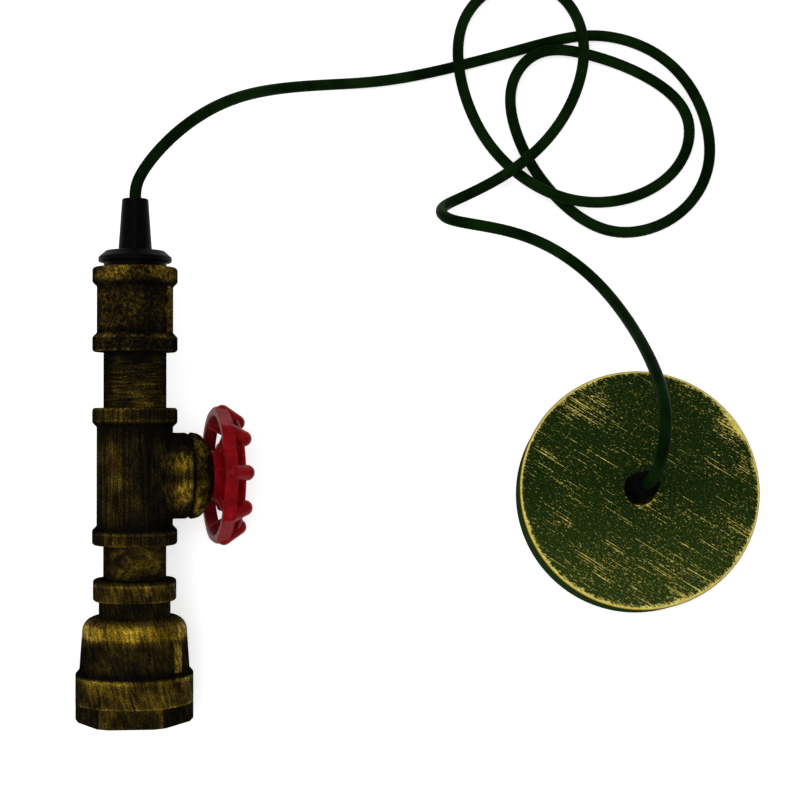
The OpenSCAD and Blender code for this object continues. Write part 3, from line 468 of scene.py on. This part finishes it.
def worn_gold(name):
    """Green-black paint on the rose, scratched one way and worn off its edge to gold. The lighter near face
    and the lighter side are painted light, and the browner gold at the rim's outer edge is painted shade.
    """
    look = Finish(name)
    place = look.place()
    x, y, z = look.axes(place)
    reach = look.reach(x, y)
    scratch_way = look.place(turn=(0, 0, SCRATCH_TURN))
    flecks = look.noise(look.stretch(scratch_way, FLECKS), rough=0.6)
    specks = look.noise(look.stretch(scratch_way, SPECKS), rough=0.6)
    lines = look.noise(look.stretch(scratch_way, LINES), detail=1.0)
    patch = look.noise(look.stretch(scratch_way, PATCHES))
    ragged = look.noise(place, scale=RAG_SCALE, detail=4.0, rough=0.75)
    mottle = look.spread(ragged, *STRONG_LEVELS)

    # The marks come more often in patches, on the near side and in the worn spots
    near = look.spread(y, *NEAR_SPAN, NEAR_MOST, 0.0)
    patched = look.calc("MULTIPLY_ADD", patch, PATCH_WEAR, -PATCH_WEAR / 2)
    often = look.calc("MULTIPLY_ADD", near, NEAR_WEAR, patched)
    for spot_x, spot_y, size, more in WORN_SPOTS:
        away = look.reach(look.calc("SUBTRACT", x, spot_x), look.calc("SUBTRACT", y, spot_y))
        often = look.calc("ADD", often, look.spread(away, 0.0, size, more, 0.0))

    # Flecks and fine specks, and long lines that the specks break up
    flecked = look.spread(look.calc("ADD", flecks, often), *FLECK_LEVELS)
    worn_specks = look.calc("MULTIPLY_ADD", often, SPECK_WEAR, specks)
    specked = look.spread(worn_specks, *SPECK_LEVELS, 0.0, SPECK_GOLD)
    broken = look.calc("MULTIPLY_ADD", specks, LINE_BREAKS, look.calc("SUBTRACT", lines, LINE_BREAKS / 2))
    lined = look.spread(look.calc("ADD", broken, often), *LINE_LEVELS)
    marked = look.calc("MAXIMUM", specked, look.calc("MAXIMUM", flecked, lined))

    # The worn rim is a thin unbroken ring with a ragged fringe inside it, and the side below has no gold
    ripped = look.calc("MULTIPLY_ADD", flecks, FRINGE_FLECKS, look.calc("MULTIPLY", ragged, FRINGE_RAGS))
    drawn_in = look.calc("MULTIPLY_ADD", often, FRINGE_WEAR, look.calc("ADD", ripped, reach))
    fringe = look.spread(drawn_in, *FRINGE_SPAN)
    ring = look.spread(reach, *RING_SPAN)
    worn = look.calc("MAXIMUM", marked, look.calc("MAXIMUM", fringe, ring))
    gold = look.calc("MULTIPLY", worn, look.spread(z, *GOLD_RISE))

    # Painted light: the face's paint turns lighter towards the near side
    face = look.mix(near, look.blend(look.spread(flecks, *STRONG_LEVELS), ROSE_FACE), rgb(ROSE_LIT_NEAR_FACE))
    # Painted light: the side is a lighter, lit copy of the face's green
    side = look.blend(mottle, ROSE_LIT_SIDE)
    paint = look.mix(look.spread(z, *FACE_RISE), side, face)
    # Painted shade: the gold turns browner at the rim's outer edge
    edge = look.spread(reach, *EDGE_SHADE_SPAN)
    metal = look.mix(edge, look.blend(mottle, ROSE_GOLD), rgb(ROSE_SHADED_EDGE_GOLD))
    look.bump(look.calc("ADD", flecks, gold), *ROSE_BUMP)
    return look.set(
        base_color=look.mix(gold, paint, metal),
        roughness=look.spread(flecks, *FAINT_LEVELS, *ROSE_ROUGHNESS),
        specular_ior_level=0.0,
    )


def plain(
    name, dark, light, size, rough, metallic=0.0, gloss=0.5, tint=WHITE, coat=0.0, depth=0.00005,
    stretch=(1, 1, 1),
):
    """A finish with a little mottle, grain and change of gloss."""
    look = Finish(name)
    local = look.stretch(look.place(), stretch)
    mottle = look.noise(local, scale=1.0 / size, detail=3.0, rough=0.6)
    grain = look.noise(local, scale=PLAIN_GRAINS / size, detail=3.0, rough=0.6)
    look.bump(look.calc("ADD", mottle, grain), PLAIN_BUMP, depth)
    return look.set(
        base_color=look.blend(look.spread(mottle, *STRONG_LEVELS), (dark, light)),
        metallic=metallic,
        roughness=look.spread(grain, *SOFT_LEVELS, rough - ROUGHNESS_CHANGE, rough + ROUGHNESS_CHANGE),
        specular_ior_level=gloss,
        specular_tint=tint,
        coat_weight=coat,
        coat_roughness=COAT_ROUGHNESS,
    )


def flex(material):
    """The round flex, as one smooth curve from the lamp's grip to the rose's."""
    start = TEE + GRIP_TOP * PIPE_WAY
    end = Vector((0, 0, ROSE_GRIP_TOP))
    route = [start, start + LAMP_RUN * PIPE_WAY]
    route += [start + MILLIMETRE * Vector(point) for point in FLEX_LEAVES]
    route += [MILLIMETRE * Vector(point) for point in FLEX_POINTS]
    route += [end + Vector((0, 0, ROSE_RUN)), end]
    route = [2 * route[0] - route[1], *route, 2 * route[-1] - route[-2]]
    data = bpy.data.curves.new("flex", "CURVE")
    data.dimensions = "3D"
    data.bevel_depth = FLEX_D / 2
    data.bevel_resolution = 5
    data.resolution_u = 10
    spline = data.splines.new("NURBS")
    spline.points.add(len(route) - 1)
    for point, place in zip(spline.points, route):
        point.co = (*place, 1)
    spline.order_u = 4
    made = bpy.data.objects.new("flex", data)
    bpy.context.collection.objects.link(made)
    data.materials.append(material)
    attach(made, "fixture")
    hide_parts("cord")


def camera():
    """The camera, turned only by its tilt."""
    made = bpy.data.objects.new("camera", bpy.data.cameras.new("camera"))
    made.data.sensor_width = CAMERA_SENSOR
    made.data.lens = CAMERA_LENS
    made.location = CAMERA_AT + CAMERA_AWAY * Vector((0, -math.sin(CAMERA_TILT), math.cos(CAMERA_TILT)))
    made.rotation_euler = (CAMERA_TILT, 0, 0)
    bpy.context.collection.objects.link(made)
    bpy.context.scene.camera = made


def floor():
    """A wide pale floor that keeps the soft shadows."""
    bpy.ops.mesh.primitive_plane_add(size=FLOOR_SIZE, location=FLOOR_AT)
    plane = bpy.context.object
    plane.name = "floor"
    look = Finish("floor")
    haze = look.noise(look.place(), scale=FLOOR_PATCHES)
    path = look.node("LightPath", {}).outputs
    seen = look.calc("MAXIMUM", path["Is Camera Ray"], path["Is Glossy Ray"])
    look.set(
        base_color=look.mix(haze, *FLOOR_WHITES),
        roughness=FLOOR_ROUGHNESS,
        emission_color=WHITE,
        emission_strength=look.calc("MULTIPLY", seen, FLOOR_GLOW),
    )
    plane.data.materials.append(look.material)


def lamp(name, offset, size, power):
    """A soft square light, aimed at the object."""
    data = bpy.data.lights.new(name, "AREA")
    data.size = size
    data.energy = power
    made = bpy.data.objects.new(name, data)
    made.location = LAMP_AIM + Vector(offset)
    made.rotation_euler = (-Vector(offset)).to_track_quat("-Z", "Y").to_euler()
    bpy.context.collection.objects.link(made)


def studio():
    """A dim white world, which the camera alone sees at its full white."""
    world = bpy.data.worlds.new("studio")
    world.use_nodes = True
    background = world.node_tree.nodes["Background"].inputs
    sky = Nodes(world.node_tree)
    seen = sky.node("LightPath", {}).outputs["Is Camera Ray"]
    sky.put(background["Color"], WHITE)
    sky.put(background["Strength"], sky.scaled(seen, 0.0, 1.0, WORLD_LIGHT, 1.0))
    bpy.context.scene.world = world


bronzes = {node: antique_bronze("bronze_" + node, **values) for node, values in BRONZES.items()}
finishes = {name: plain(name, **values) for name, values in PLAIN.items()}
finishes["worn_gold"] = worn_gold("worn_gold")
for part in frame["record"]["subparts"]:
    piece = nodes[part["node"]]
    piece.data.materials.clear()
    piece.data.materials.append(bronzes.get(part["node"]) or finishes[part["material_slot"]])
flex(finishes["flex_pvc"])

camera()
floor()
for name, (offset, size, power) in LAMPS.items():
    lamp(name, offset, size, power)
studio()
bpy.context.scene.view_settings.view_transform = "Standard"
